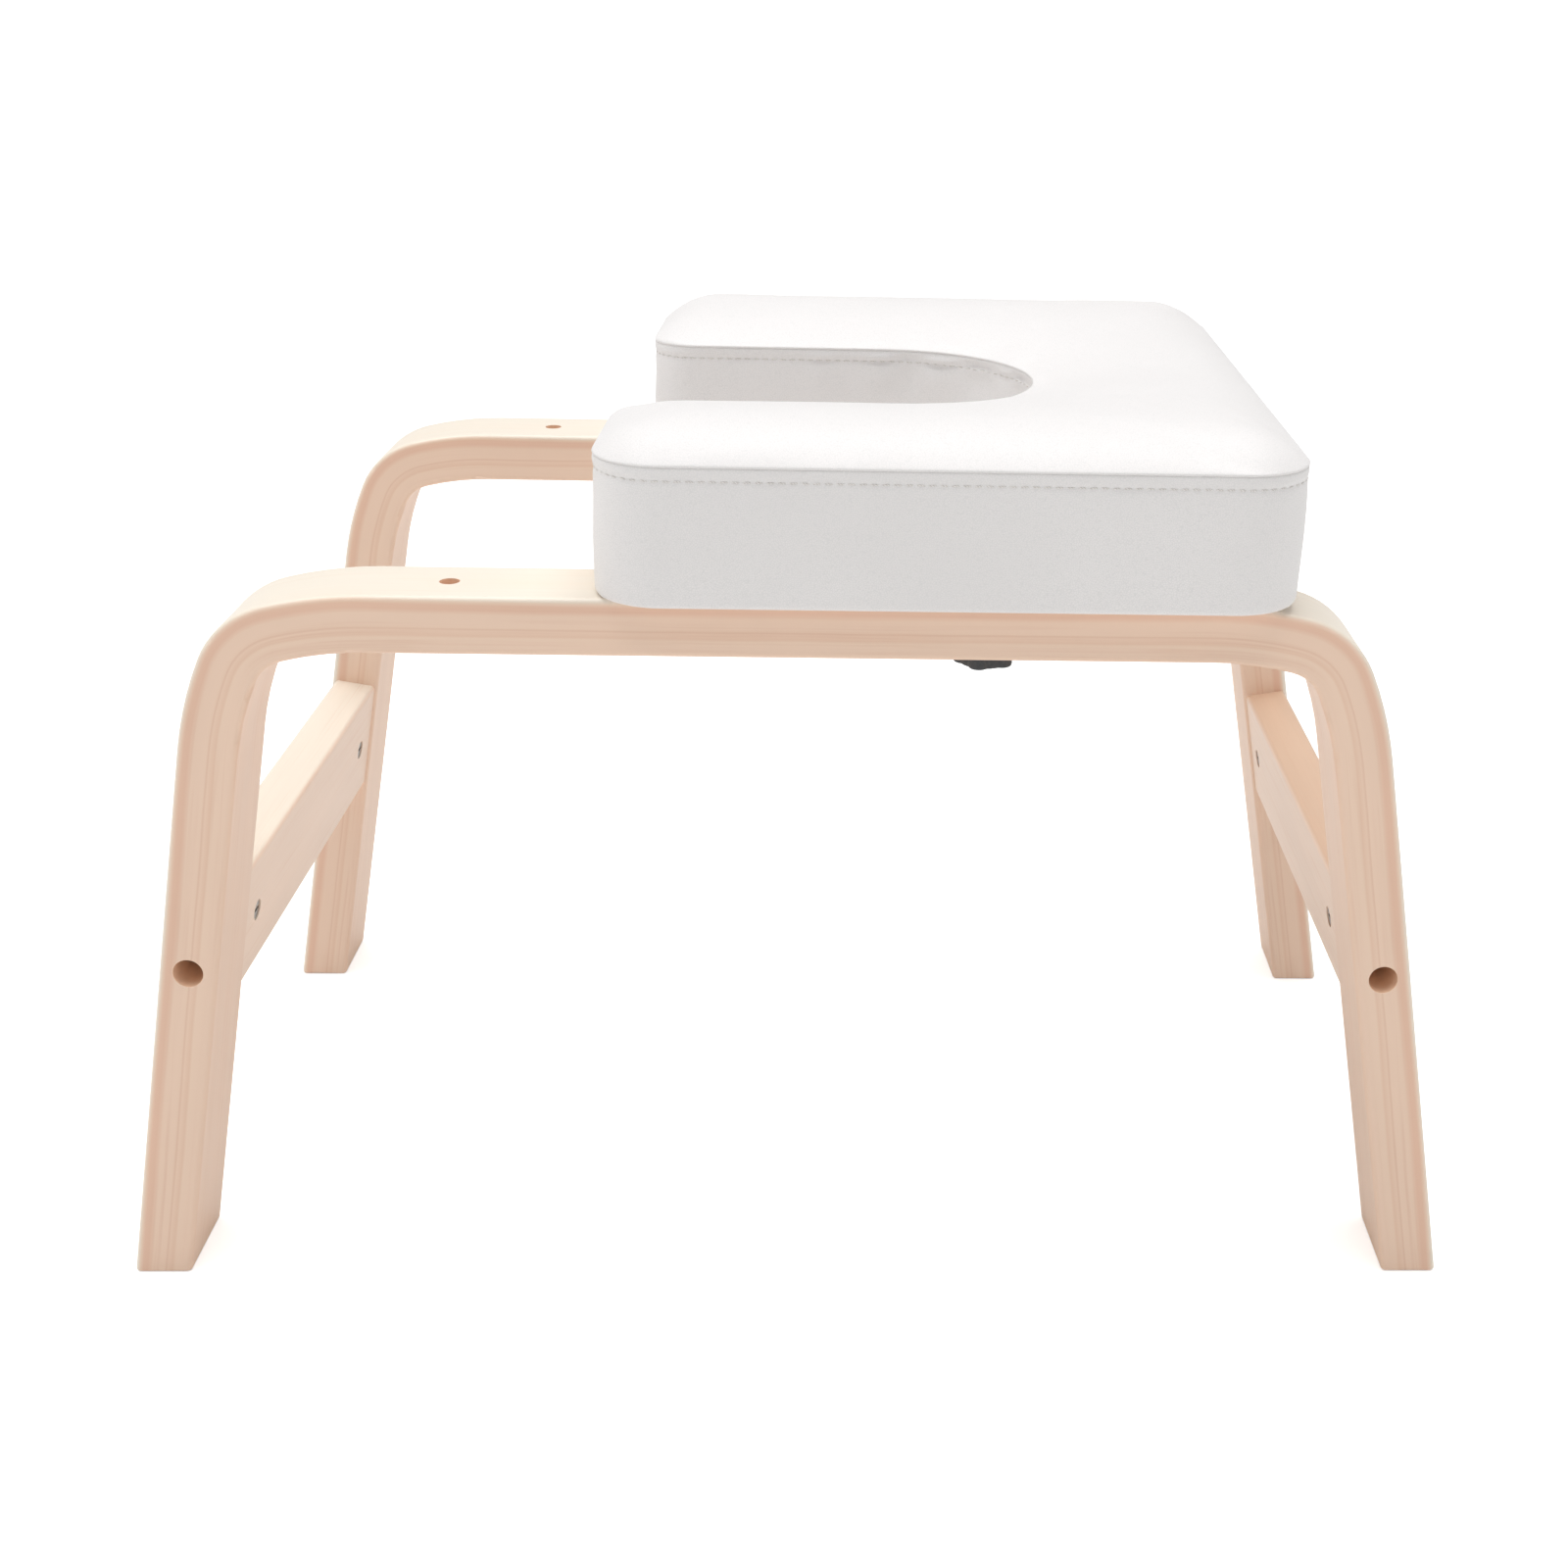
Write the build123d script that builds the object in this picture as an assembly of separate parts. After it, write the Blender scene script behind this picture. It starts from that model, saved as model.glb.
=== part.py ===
from build123d import *
from math import cos, radians, sin, tan
import os

# Headstand bench: two bentwood arches, two stretchers and a U-shaped cushion.
#
# Frame: +X along the rails towards the closed end of the cushion, +Y from the front arch to the
# rear arch, +Z up. The origin is on the floor, in the middle of the four feet. Millimetres.

# ---- driving dimensions -------------------------------------------------------------------
# arches
foot_span = 600.0            # outer foot to outer foot, at the floor
bench_height = 325.0         # floor to the top of the rails
arch_thickness = 25.0        # glued stack of veneers
arch_width = 45.0            # width of one arch along Y
arch_spacing = 290.0         # from one arch's centre plane to the other's
leg_lean = 9.6               # degrees off vertical, feet outwards
easing_radius = 170.0        # gentle start and end of each bend, on the outer face
easing_angle = 14.0          # degrees turned in each easing
bend_radius = 42.0           # tight middle of each bend, on the outer face
arch_edge_round = 2.2
foot_edge_round = 1.5        # round the sawn end of each leg

# stretchers, square to the arches and tilted with the legs
stretcher_height = 60.0      # measured along the leg
stretcher_thickness = 22.0
stretcher_level = 152.5      # floor to the bolt's axis
stretcher_edge_round = 2.5

# bolted joint at each end of a stretcher
bolt_diameter = 6.0
bolt_length = 50.0
bolt_head_diameter = 10.0
bolt_head_height = 6.0
bolt_hex = 5.0               # across flats
bolt_hex_depth = 3.0
bolt_hole_clearance = 0.25   # radial, in the wood
washer_diameter = 12.0
washer_thickness = 1.6
washer_hole_clearance = 0.2  # radial
counterbore_diameter = 13.0
counterbore_depth = 28.0
barrel_diameter = 10.0
barrel_length = 16.0
barrel_inset = 0.6           # slotted end below the stretcher's inner face
barrel_from_end = 22.0       # end of the stretcher to the barrel's axis
barrel_fit = 0.05            # radial
barrel_slot_width = 1.6
barrel_slot_depth = 2.0
thread_fit = 0.05            # radial gap between plain thread cylinders
bolt_tip_room = 3.0          # hole left beyond the bolt's tip

# wooden dowels above and below each bolt
dowel_diameter = 8.0
dowel_length = 40.0
dowel_offset = 18.0          # from the bolt's axis, along the leg
dowel_fit = 0.05             # radial
dowel_end_room = 1.0

# cushion
cushion_length = 294.0       # along X
cushion_overhang = 14.5      # beyond the outer face of each arch
cushion_shift = 65.5         # its middle, from the middle of the bench
cushion_lift = 0.3           # soft underside clear of the rails
band_height = 60.0           # side band, floor of the cushion to the top seam
crown_height = 12.0          # top panel's rise above the seam
crown_border = 28.0          # width of the sloping border of the crown
corner_radius = 30.0         # outer plan corners
mouth_radius = 22.0          # corners at the mouth of the notch
notch_width = 144.0
notch_depth = 190.0          # mouth to the round end
least_plan_radius = 1.0      # left at the corners of the innermost plans
cover_thickness = 1.5
cover_clearance = 0.1
hem_width = 16.0             # side band turned in under the board
board_thickness = 12.0
dust_cover_thickness = 0.8

# hand knobs that hold the cushion down, one through each rail
knob_from_cushion_middle = 15.5
stud_diameter = 8.0
stud_length = 40.0           # above the knob
stud_root = 4.5              # moulded into the knob
stud_end_chamfer = 0.8
rail_hole_clearance = 0.25   # radial
knob_lobe_radius = 4.5
knob_lobe_offset = 8.9
knob_lobes = 5
knob_turn = -108.0           # degrees from +X to the first lobe
knob_height = 6.0
knob_edge_round = 1.4
knob_hub_radius = 11.2
knob_valley_round = 1.5      # between the lobes
knob_washer_diameter = 24.0
knob_washer_thickness = 1.6
knob_washer_gap = 0.05       # to the rail and to the knob
tee_flange_diameter = 22.0
tee_flange_thickness = 1.5
tee_barrel_diameter = 10.0
tee_barrel_length = 9.0
tee_fit = 0.05               # radial, in the board
stud_head_room = 6.0         # hollow in the foam over the stud

# spare hole through each rail, near the open end
spare_hole_from_middle = 144.0

# ---- derived sizes ------------------------------------------------------------------------
lean = radians(leg_lean)
half_width = arch_width / 2
arch_y = arch_spacing / 2                     # centre plane of the rear arch
inner_y = arch_y - half_width                 # inner side faces, where the stretchers end
outer_y = arch_y + half_width
rail_under = bench_height - arch_thickness
leg_middle_x = foot_span / 2 - arch_thickness / (2 * cos(lean)) - stretcher_level * tan(lean)
bolt_seat_y = -outer_y + counterbore_depth - washer_thickness     # under the front bolts' heads
bolt_tip_y = bolt_seat_y + bolt_length

cushion_width = 2 * (outer_y + cushion_overhang)
cushion_under = bench_height + cushion_lift
board_under = cushion_under + cover_thickness
board_top = board_under + board_thickness
seam_z = cushion_under + band_height
knob_x = cushion_shift + knob_from_cushion_middle
stud_hole_radius = stud_diameter / 2 + rail_hole_clearance
knob_washer_top = rail_under - knob_washer_gap
knob_top = knob_washer_top - knob_washer_thickness - knob_washer_gap

# the right-hand leg's own frame at the bolt: x out through the leg, y along +Y, z up the leg
leg_frame = Plane(
    origin=(leg_middle_x, 0, stretcher_level),
    x_dir=(cos(lean), 0, sin(lean)),
    z_dir=(-sin(lean), 0, cos(lean)),
).location


# ---- helpers ------------------------------------------------------------------------------
def rod(radius, length):
    """Round bar standing on the origin, along +Z."""
    return Cylinder(radius, length, align=(Align.CENTER, Align.CENTER, Align.MIN))


def along_y(y, offset=0.0):
    """Leg-frame place at height offset along the leg, with +Z of the piece along +Y."""
    return leg_frame * Pos(0, y, offset) * Rot(-90, 0, 0)


# ---- arches -------------------------------------------------------------------------------
def bend_arcs():
    """Radii and angles of one bend on the outer face, leg to rail."""
    middle = 90 - leg_lean - 2 * easing_angle
    return [(easing_radius, easing_angle), (bend_radius, middle), (easing_radius, easing_angle)]


def bend_extent():
    """Run and rise of one bend, from the leg's heading round to level."""
    heading, run, rise = radians(90 - leg_lean), 0.0, 0.0
    for radius, angle in bend_arcs():
        after = heading - radians(angle)
        run += radius * (sin(heading) - sin(after))
        rise += radius * (cos(after) - cos(heading))
        heading = after
    return run, rise


def arch_path(depth, extra):
    """One face of the arch seen from the front: left foot, over the top, right foot.

    depth is the distance in from the outer face, and extra runs the legs on below the floor.
    """
    run, rise = bend_extent()
    leg = (bench_height - rise) / cos(lean) + extra
    rail = foot_span - 2 * ((bench_height - rise) * tan(lean) + run)
    start = Vector(
        -foot_span / 2 - extra * sin(lean) + depth * cos(lean),
        -extra * cos(lean) - depth * sin(lean),
    )
    up = Vector(sin(lean), cos(lean))
    edges = [Line(start, start + up * leg)]
    for radius, angle in bend_arcs():
        edges.append(JernArc(edges[-1] @ 1, edges[-1] % 1, radius - depth, -angle))
    edges.append(Line(edges[-1] @ 1, edges[-1] @ 1 + Vector(rail, 0)))
    for radius, angle in bend_arcs():
        edges.append(JernArc(edges[-1] @ 1, edges[-1] % 1, radius - depth, -angle))
    edges.append(Line(edges[-1] @ 1, edges[-1] @ 1 + Vector(sin(lean), -cos(lean)) * leg))
    return edges


def make_front_arch():
    below = 20.0
    outer, inner = arch_path(0, below), arch_path(arch_thickness, below)
    ends = [Line(outer[0] @ 0, inner[0] @ 0), Line(outer[-1] @ 1, inner[-1] @ 1)]
    side = make_face(outer + inner + ends)
    arch = Pos(0, -inner_y, 0) * Rot(90, 0, 0) * extrude(side, arch_width)
    arch -= Pos(0, -arch_y, 0) * Box(
        2 * foot_span, 2 * arch_width, 4 * below, align=(Align.CENTER, Align.CENTER, Align.MAX)
    )
    long_edges = [
        e for e in arch.edges()
        if abs(abs(e.center().Y + arch_y) - half_width) < 0.01 and e.center().Z > 0.5
    ]
    arch = fillet(long_edges, arch_edge_round)
    arch = fillet(arch.faces().sort_by(Axis.Z)[:2].edges(), foot_edge_round)

    stud_hole = Pos(0, -arch_y, rail_under - 1) * rod(stud_hole_radius, arch_thickness + 2)
    arch -= Pos(knob_x, 0, 0) * stud_hole
    arch -= Pos(-spare_hole_from_middle, 0, 0) * stud_hole
    for cut in leg_cuts():
        arch -= cut
        arch -= mirror(cut, about=Plane.YZ)
    return arch


def leg_cuts():
    """Counterbore, bolt hole and dowel holes in the right-hand leg of the front arch."""
    bolt_hole = rod(bolt_diameter / 2 + bolt_hole_clearance, arch_width + 2)
    cuts = [
        along_y(-outer_y - 1) * rod(counterbore_diameter / 2, counterbore_depth + 1),
        along_y(-outer_y - 1) * bolt_hole,
    ]
    depth = dowel_length / 2 + dowel_end_room
    for offset in (dowel_offset, -dowel_offset):
        cuts.append(along_y(-inner_y - depth, offset) * rod(dowel_diameter / 2 + dowel_fit, depth))
    return cuts


# ---- stretchers ---------------------------------------------------------------------------
def make_right_stretcher():
    bar = Box(stretcher_thickness, 2 * inner_y, stretcher_height)
    bar = fillet(bar.edges().filter_by(Axis.Y), stretcher_edge_round)
    bar = leg_frame * bar
    bolt_depth = bolt_tip_y + bolt_tip_room + inner_y
    bolt_bore = along_y(-inner_y) * rod(bolt_diameter / 2 + bolt_hole_clearance, bolt_depth)
    barrel_bore = barrel_place() * rod(barrel_diameter / 2 + barrel_fit, barrel_length + barrel_inset)
    dowel_bore = rod(dowel_diameter / 2 + dowel_fit, dowel_length / 2 + dowel_end_room)
    dowel_bores = [along_y(-inner_y, offset) * dowel_bore for offset in (dowel_offset, -dowel_offset)]
    for cut in [bolt_bore, barrel_bore] + dowel_bores:
        bar -= cut
        bar -= mirror(cut, about=Plane.XZ)
    return bar


# ---- bolted joints (front right, mirrored to the others) ----------------------------------
def barrel_place():
    """Mouth of the barrel nut's bore: +Z of the piece points out through the leg."""
    return leg_frame * Pos(-stretcher_thickness / 2, -inner_y + barrel_from_end, 0) * Rot(0, 90, 0)


def make_bolt():
    head = rod(bolt_head_diameter / 2, bolt_head_height)
    head = fillet(head.edges().sort_by(Axis.Z)[:1], 0.5)
    socket = extrude(RegularPolygon(bolt_hex / 2, 6, major_radius=False), bolt_hex_depth)
    head -= socket
    shank = Pos(0, 0, bolt_head_height) * rod(bolt_diameter / 2, bolt_length)
    shank = chamfer(shank.edges().sort_by(Axis.Z)[-1:], 0.8)
    return along_y(bolt_seat_y - bolt_head_height) * (head + shank)


def make_bolt_washer():
    ring = rod(washer_diameter / 2, washer_thickness)
    ring -= rod(bolt_diameter / 2 + washer_hole_clearance, washer_thickness)
    return along_y(bolt_seat_y) * ring


def make_barrel_nut():
    nut = rod(barrel_diameter / 2, barrel_length)
    nut = chamfer(nut.edges().filter_by(GeomType.CIRCLE), 0.4)
    nut -= Box(
        barrel_slot_width, 2 * barrel_diameter, barrel_slot_depth,
        align=(Align.CENTER, Align.CENTER, Align.MIN),
    )
    nut = barrel_place() * Pos(0, 0, barrel_inset) * nut
    thread = rod(bolt_diameter / 2 + thread_fit, 2 * barrel_diameter)
    return nut - along_y(-inner_y + barrel_from_end - barrel_diameter) * thread


def make_dowel(offset):
    pin = rod(dowel_diameter / 2, dowel_length)
    pin = chamfer(pin.edges().filter_by(GeomType.CIRCLE), 1.0)
    return along_y(-inner_y - dowel_length / 2, offset) * pin


# ---- cushion ------------------------------------------------------------------------------
def cushion_plan(inset):
    """U-shaped plan, every edge moved in by inset."""
    left = cushion_shift - cushion_length / 2 + inset
    right = cushion_shift + cushion_length / 2 - inset
    half = cushion_width / 2 - inset
    notch = notch_width / 2 + inset
    notch_end = cushion_shift - cushion_length / 2 + notch_depth + inset
    plan = Pos((left + right) / 2, 0) * Rectangle(right - left, 2 * half)
    plan -= Pos((left + notch_end - notch) / 2 - 5, 0) * Rectangle(notch_end - notch - left + 10, 2 * notch)
    plan -= Pos(notch_end - notch, 0) * Circle(notch)
    corners = [v for v in plan.vertices() if abs(abs(v.Y) - half) < 0.01]
    plan = fillet(corners, max(corner_radius - inset, least_plan_radius))
    mouth = [
        v for v in plan.vertices()
        if abs(v.X - left) < 0.01 and abs(abs(v.Y) - notch) < 0.01
    ]
    return fillet(mouth, max(mouth_radius - inset, least_plan_radius))


def slab(inset, bottom, top):
    return Pos(0, 0, bottom) * extrude(cushion_plan(inset), top - bottom)


def pillow(inset, bottom, edge):
    """Slab up to its edge, with the crowned top above it."""
    border = loft([
        Pos(0, 0, edge) * cushion_plan(inset),
        Pos(0, 0, edge + crown_height) * cushion_plan(inset + crown_border),
    ], ruled=True)
    return slab(inset, bottom, edge) + border


def at_both_studs(piece):
    """A piece made at the origin, as a pair over the two knob holes."""
    return [Pos(knob_x, y, 0) * piece for y in (-arch_y, arch_y)]


def make_top_panel():
    lower = seam_z - cover_thickness
    return pillow(0, lower, seam_z) - pillow(0, lower - 1, lower)


def make_side_band():
    top = seam_z - cover_thickness
    band = slab(0, cushion_under, top)
    band -= slab(cover_thickness, board_under, top + 1)
    return band - slab(hem_width, cushion_under - 1, board_under + 1)


def make_foam():
    inset = cover_thickness + cover_clearance
    foam = pillow(inset, board_top, seam_z - cover_thickness - cover_clearance)
    hollow = rod(tee_flange_diameter / 2 + 1, tee_flange_thickness + 0.2)
    hollow += rod(stud_diameter / 2 + 1, stud_head_room)
    for cut in at_both_studs(Pos(0, 0, board_top) * hollow):
        foam -= cut
    return foam


def make_board():
    board = slab(cover_thickness + cover_clearance, board_under, board_top)
    hole = Pos(0, 0, board_under - 1) * rod(tee_barrel_diameter / 2 + tee_fit, board_thickness + 2)
    for cut in at_both_studs(hole):
        board -= cut
    return board


def make_dust_cover():
    top = board_under
    sheet = slab(hem_width + cover_clearance, top - dust_cover_thickness, top)
    hole = Pos(0, 0, top - 2) * rod(tee_barrel_diameter / 2 + tee_fit, 4)
    for cut in at_both_studs(hole):
        sheet -= cut
    return sheet


def make_tee_nut():
    """Tee nut at the origin of X and Y, flange on top of the board."""
    nut = Pos(0, 0, board_top) * rod(tee_flange_diameter / 2, tee_flange_thickness)
    nut += Pos(0, 0, board_top - tee_barrel_length) * rod(tee_barrel_diameter / 2, tee_barrel_length)
    bore = rod(stud_diameter / 2 + thread_fit, tee_barrel_length + tee_flange_thickness + 2)
    return nut - Pos(0, 0, board_top - tee_barrel_length - 1) * bore


# ---- hand knobs ---------------------------------------------------------------------------
def make_knob():
    step = 360 / knob_lobes
    grip = Circle(knob_hub_radius)
    for i in range(knob_lobes):
        grip += Rot(0, 0, knob_turn + i * step) * Pos(knob_lobe_offset, 0) * Circle(knob_lobe_radius)
    grip = fillet(grip.vertices(), knob_valley_round)
    knob = Pos(0, 0, knob_top - knob_height) * extrude(grip, knob_height)
    knob = fillet(knob.faces().sort_by(Axis.Z)[0].edges(), knob_edge_round)
    return knob - Pos(0, 0, knob_top - stud_root) * rod(stud_diameter / 2, stud_root + 1)


def make_stud():
    stud = Pos(0, 0, knob_top - stud_root) * rod(stud_diameter / 2, stud_root + stud_length)
    return chamfer(stud.edges().sort_by(Axis.Z)[-1:], stud_end_chamfer)


def make_knob_washer():
    ring = rod(knob_washer_diameter / 2, knob_washer_thickness)
    ring -= rod(stud_diameter / 2 + thread_fit, knob_washer_thickness)
    return Pos(0, 0, knob_washer_top - knob_washer_thickness) * ring


# ---- the whole bench ----------------------------------------------------------------------
def build():
    nodes = {}

    front_arch = make_front_arch()
    nodes["front_arch"] = front_arch
    nodes["rear_arch"] = mirror(front_arch, about=Plane.XZ)

    right_stretcher = make_right_stretcher()
    nodes["right_stretcher"] = right_stretcher
    nodes["left_stretcher"] = mirror(right_stretcher, about=Plane.YZ)

    joint_pieces = {
        "bolt": make_bolt(),
        "bolt_washer": make_bolt_washer(),
        "barrel_nut": make_barrel_nut(),
        "dowel_upper": make_dowel(dowel_offset),
        "dowel_lower": make_dowel(-dowel_offset),
    }
    for name, piece in joint_pieces.items():
        nodes[name + "_front_right"] = piece
        nodes[name + "_front_left"] = mirror(piece, about=Plane.YZ)
        nodes[name + "_rear_right"] = mirror(piece, about=Plane.XZ)
        nodes[name + "_rear_left"] = mirror(nodes[name + "_front_left"], about=Plane.XZ)

    nodes["cushion_board"] = make_board()
    nodes["cushion_foam"] = make_foam()
    nodes["cushion_top_panel"] = make_top_panel()
    nodes["cushion_side_band"] = make_side_band()
    nodes["cushion_dust_cover"] = make_dust_cover()

    stud_pieces = {
        "tee_nut": make_tee_nut(),
        "knob": make_knob(),
        "knob_stud": make_stud(),
        "knob_washer": make_knob_washer(),
    }
    for name, piece in stud_pieces.items():
        nodes[name + "_front"], nodes[name + "_rear"] = at_both_studs(piece)
    return nodes


os.makedirs("parts", exist_ok=True)
for node, shape in build().items():
    export_step(shape, f"parts/{node}.step")
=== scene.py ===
from math import ceil, cos, pi, radians, sin, tan

import bpy
import numpy as np
from mathutils import Matrix, Vector, noise
from mathutils.geometry import delaunay_2d_cdt


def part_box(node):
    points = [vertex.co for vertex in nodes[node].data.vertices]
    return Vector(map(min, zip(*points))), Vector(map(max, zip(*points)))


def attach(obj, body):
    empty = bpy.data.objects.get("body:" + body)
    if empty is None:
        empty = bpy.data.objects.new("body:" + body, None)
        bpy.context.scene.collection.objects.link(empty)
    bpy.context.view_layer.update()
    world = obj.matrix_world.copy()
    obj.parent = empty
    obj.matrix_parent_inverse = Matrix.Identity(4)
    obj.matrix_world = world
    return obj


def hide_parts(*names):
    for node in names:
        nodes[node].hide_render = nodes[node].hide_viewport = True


# Headstand bench: lacquered bentwood arches, a sewn vinyl cushion on a board, and hand knobs.
# Metres. +X runs along the rails towards the cushion's closed end, +Y to the rear, +Z up.

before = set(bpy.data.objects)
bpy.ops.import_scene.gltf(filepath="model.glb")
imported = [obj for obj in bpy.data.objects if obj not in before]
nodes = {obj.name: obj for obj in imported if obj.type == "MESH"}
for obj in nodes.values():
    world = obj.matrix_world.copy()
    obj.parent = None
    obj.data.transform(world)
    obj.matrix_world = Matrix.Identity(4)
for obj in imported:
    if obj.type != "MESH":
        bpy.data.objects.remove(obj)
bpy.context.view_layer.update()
MM = 0.001

# ---- sizes the looks need, from the frame and the bench's own dimensions ---------------------
RAIL_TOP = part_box("front_arch")[1].z
ARCH_THICKNESS = 25 * MM
LEG_LEAN = radians(9.6)
FOOT_SPAN = 600 * MM
BEND = [(170 * MM, radians(14)), (42 * MM, radians(52.4)), (170 * MM, radians(14))]
SPARE_HOLE_X = -144 * MM
COUNTERBORE_EDGE = 6.62 * MM             # radius of the painted hole shade, a hair over the bore's own
# radius of the painted shade in the rail's through-holes
RAIL_HOLE_EDGE = 4.3 * MM

band_low, band_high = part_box("cushion_side_band")
top_low, top_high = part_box("cushion_top_panel")
COVER = 1.5 * MM                         # vinyl with its backing
SEAM = top_low.z + COVER                 # height of the sewn top edge
UNDERSIDE = band_low.z
CROWN = top_high.z - SEAM                # soft top above the seam
CROWN_REACH = 38 * MM                    # how far in from the outer edge the top keeps rising
NOTCH_REACH = 92 * MM                    # how far in from the notch
CROWN_ROUNDNESS = 2.8                    # higher rises faster at the edge
CROWN_SPRING = 1.2 * MM                  # the foam pushes the middle up a little more
NOTCH_HALF = 72 * MM
NOTCH_DEPTH = 190 * MM
CORNER = 30 * MM
MOUTH = 22 * MM
HEM = 16 * MM
STITCH_DROP = 6.6 * MM                   # stitch row below the seam
STITCH_PITCH = 4.6 * MM
STITCH_LENGTH = 3.4 * MM
THREAD = 0.36 * MM                       # thread radius


# ---- materials -----------------------------------------------------------------------------
def linear(code, alpha=1.0):
    """Turns an sRGB hex colour to a linear one."""
    channels = [int(code[i:i + 2], 16) / 255 for i in (1, 3, 5)]
    return [c / 12.92 if c <= 0.04045 else ((c + 0.055) / 1.055) ** 2.4 for c in channels] + [alpha]


def add(tree, kind, feeds=None, **settings):
    """Adds a shader node, makes its settings, and fills or links its inputs by name or by place."""
    node = tree.nodes.new("ShaderNode" + kind)
    for name, value in settings.items():
        setattr(node, name, value)
    sockets = [s for s in node.inputs if s.enabled]
    for key, value in (feeds or {}).items():
        socket = sockets[key] if isinstance(key, int) else next(s for s in sockets if s.name == key)
        if isinstance(value, bpy.types.Node):
            value = next(s for s in value.outputs if s.enabled)
        if isinstance(value, bpy.types.NodeSocket):
            tree.links.new(value, socket)
        else:
            socket.default_value = value
    return node


def tones(ramp, stops):
    """Gives a colour ramp its stops: (place from 0 to 1, hex colour)."""
    band = ramp.color_ramp
    band.elements[0].position, band.elements[0].color = stops[0][0], linear(stops[0][1])
    band.elements[1].position, band.elements[1].color = stops[-1][0], linear(stops[-1][1])
    for place, code in stops[1:-1]:
        band.elements.new(place).color = linear(code)
    return ramp


def surface(name, **constants):
    """A new material, with its shader's constant settings on the shader's own sockets."""
    material = bpy.data.materials.new(name)
    material.use_nodes = True
    shader = material.node_tree.nodes["Principled BSDF"]
    for key, value in constants.items():
        shader.inputs[key.replace("_", " ")].default_value = value
    return material, material.node_tree, shader


def rail_half():
    """Half the level run of the rail, between the two bends."""
    heading, run, rise = pi / 2 - LEG_LEAN, 0.0, 0.0
    for radius, angle in BEND:
        run += radius * (sin(heading) - sin(heading - angle))
        rise += radius * (cos(heading - angle) - cos(heading))
        heading -= angle
    return FOOT_SPAN / 2 - (RAIL_TOP - rise) * tan(LEG_LEAN) - run


def along_the_arch(tree):
    """Follows the bent stack: metres along it, across it, and down from its outer face."""
    place = add(tree, "TexCoord").outputs["Object"]
    xyz = add(tree, "SeparateXYZ", {0: place})
    side = add(tree, "Math", {0: xyz.outputs["X"]}, operation="ABSOLUTE")
    profile = add(tree, "CombineXYZ", {"X": side, "Z": xyz.outputs["Z"]})
    along, depth = side, add(tree, "Math", {0: RAIL_TOP, 1: xyz.outputs["Z"]}, operation="SUBTRACT")
    gone, heading = rail_half(), 0.0
    centre = Vector((gone, 0, RAIL_TOP - BEND[0][0]))
    for i, (radius, angle) in enumerate(BEND + [(BEND[-1][0], 0.0)]):
        outward, onward = Vector((sin(heading), 0, cos(heading))), Vector((cos(heading), 0, -sin(heading)))
        if i in (1, 2):
            centre += outward * (BEND[i - 1][0] - radius)
        ray = add(tree, "VectorMath", {0: profile, 1: centre}, operation="SUBTRACT")
        ahead = add(tree, "VectorMath", {0: ray, 1: onward}, operation="DOT_PRODUCT")
        out = add(tree, "VectorMath", {0: ray, 1: outward}, operation="DOT_PRODUCT")
        if angle:
            out_here = add(tree, "VectorMath", {0: ray}, operation="LENGTH")
            turned = add(tree, "Math", {0: ahead, 1: out}, operation="ARCTAN2")
            middle = radius - ARCH_THICKNESS / 2
            run = add(tree, "Math", {0: turned, 1: middle, 2: gone}, operation="MULTIPLY_ADD")
        else:
            out_here = out
            run = add(tree, "Math", {0: ahead, 1: gone}, operation="ADD")
        inside = add(tree, "Math", {0: radius, 1: out_here}, operation="SUBTRACT")
        past = add(tree, "Math", {0: ahead, 1: 0.0}, operation="GREATER_THAN")
        depth = add(tree, "Mix", {"Factor": past, "A": depth, "B": inside})
        along = add(tree, "Mix", {"Factor": past, "A": along, "B": run})
        gone += angle * (radius - ARCH_THICKNESS / 2)
        heading += angle
    return place, along, xyz.outputs["Y"], depth


def painted_hole_shade(tree, place, colour, holes, shade):
    """Paints shade into the bored holes: the wood within each takes one fixed shade colour. Each hole is
    (axis to drop, centre, radius).
    """
    for axis, centre, radius in holes:
        keep = Vector((1, 1, 1))
        keep["XYZ".index(axis)] = 0
        flat = add(tree, "VectorMath", {0: place, 1: keep}, operation="MULTIPLY")
        off = add(tree, "VectorMath", {0: flat, 1: centre}, operation="DISTANCE")
        within = add(tree, "Math", {0: off, 1: radius}, operation="LESS_THAN")
        colour = add(
            tree, "Mix", {"Factor": within, "A": colour, "B": linear(shade)}, data_type="RGBA"
        )
    return colour


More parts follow.
